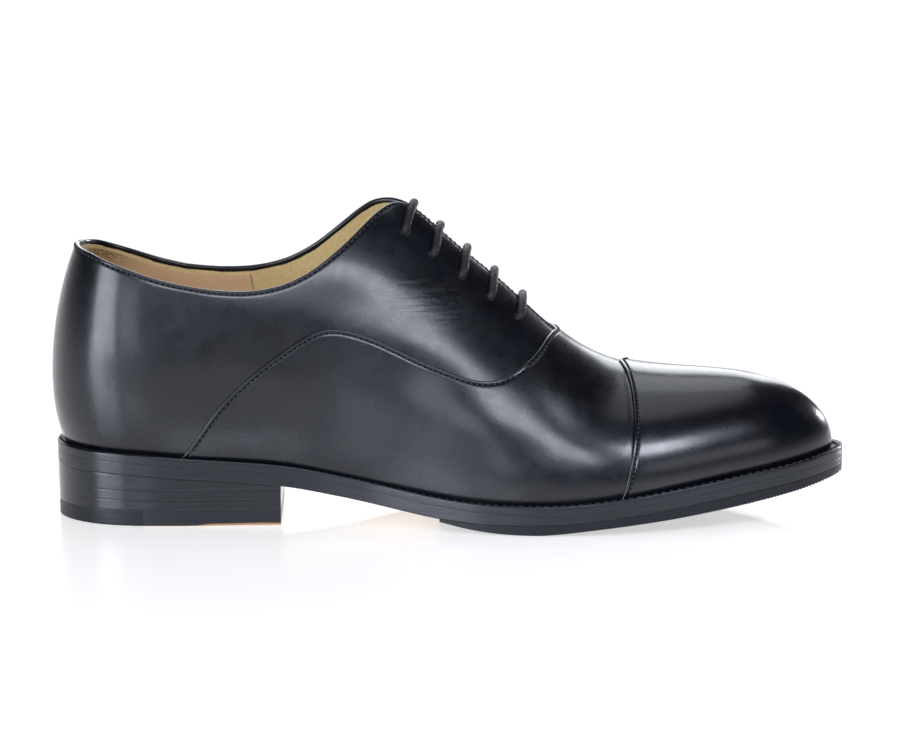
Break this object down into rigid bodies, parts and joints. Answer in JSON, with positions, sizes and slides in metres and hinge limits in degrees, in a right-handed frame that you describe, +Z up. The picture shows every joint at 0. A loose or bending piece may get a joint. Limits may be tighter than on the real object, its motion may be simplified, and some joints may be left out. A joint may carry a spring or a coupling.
{
  "type": "leather oxford shoe",
  "caption": "Right-foot leather oxford shoe with straight toe cap, closed lacing, welted leather sole, forepart rubber half sole and stacked heel.",
  "frame": {"origin": "centre of the heel's resting face, on the ground", "axes": "+X forward to the toe, +Y to the inner (medial) side of this right shoe, +Z up"},
  "size_m": [0.3015, 0.1036, 0.1203],
  "materials": {
    "calf": "polished smooth calf, fine grain",
    "sole_edge": "inked and waxed leather edge, satin",
    "welt_leather": "inked welt, satin",
    "heel_edge": "inked and waxed stacked leather, satin with faint lift lines",
    "sole_rubber": "matte moulded rubber",
    "bottom_leather": "natural vegetable-tanned leather, buffed",
    "insole_leather": "natural leather, matte",
    "lining": "natural calf lining, matte",
    "heel_lining_leather": "natural leather, brown suede-like grip along its top",
    "cork": "granular cork",
    "steel": "brushed",
    "canvas": "woven canvas tape",
    "fibreboard": "pressed fibre stiffener, matte",
    "eyelet_metal": "black enamelled with a worn bright rim",
    "lace": "waxed braided cotton, round",
    "aglet_plastic": "clear-coated black plastic tip",
    "thread": "waxed thread"
  },
  "bodies": {
    "shoe": {"outsole": "sole_edge", "half_sole": "sole_rubber", "welt": "welt_leather", "welt_stitches": "thread", "cork_filler": "cork", "shank": "steel", "insole_rib": "canvas", "insole": "insole_leather", "heel_base": "heel_edge", "heel_lift_upper": "heel_edge", "heel_lift_lower": "heel_edge", "top_piece_leather": "bottom_leather", "top_piece_rubber": "sole_rubber", "heel_nails": "steel", "vamp": "calf", "quarter_lateral": "calf", "quarter_medial": "calf", "facing_stay_lateral": "canvas", "facing_stay_medial": "canvas", "eyelets_lateral": "eyelet_metal", "eyelets_medial": "eyelet_metal", "heel_counter": "fibreboard", "vamp_lining": "lining", "quarter_lining_lateral": "lining", "quarter_lining_medial": "lining", "heel_lining": "heel_lining_leather", "lace_laced": "lace", "lace_end_lateral": "lace", "lace_end_medial": "lace", "aglet_lateral": "aglet_plastic", "aglet_medial": "aglet_plastic"},
    "toe": {"toe_cap": "calf", "toe_puff": "fibreboard"},
    "tongue": {"tongue": "calf", "tongue_lining": "lining"}
  },
  "joints": [
    {"name": "toe_flex", "type": "hinge", "parent": "shoe", "child": "toe", "pos_m": [0.1565, 0, 0.012], "axis": [0, -1, 0], "range_deg": [0, 25], "stiffness_Nm_per_rad": 1, "deforming": ["outsole", "half_sole", "welt", "welt_stitches", "insole", "insole_rib", "cork_filler", "vamp", "vamp_lining", "lace_end_lateral", "lace_end_medial", "aglet_lateral", "aglet_medial"]},
    {"name": "tongue_fold", "type": "hinge", "parent": "shoe", "child": "tongue", "pos_m": [0.1555, 0, 0.057], "axis": [0, -1, 0], "range_deg": [0, 20], "stiffness_Nm_per_rad": 0.05, "springref_deg": -5.73}
  ]
}
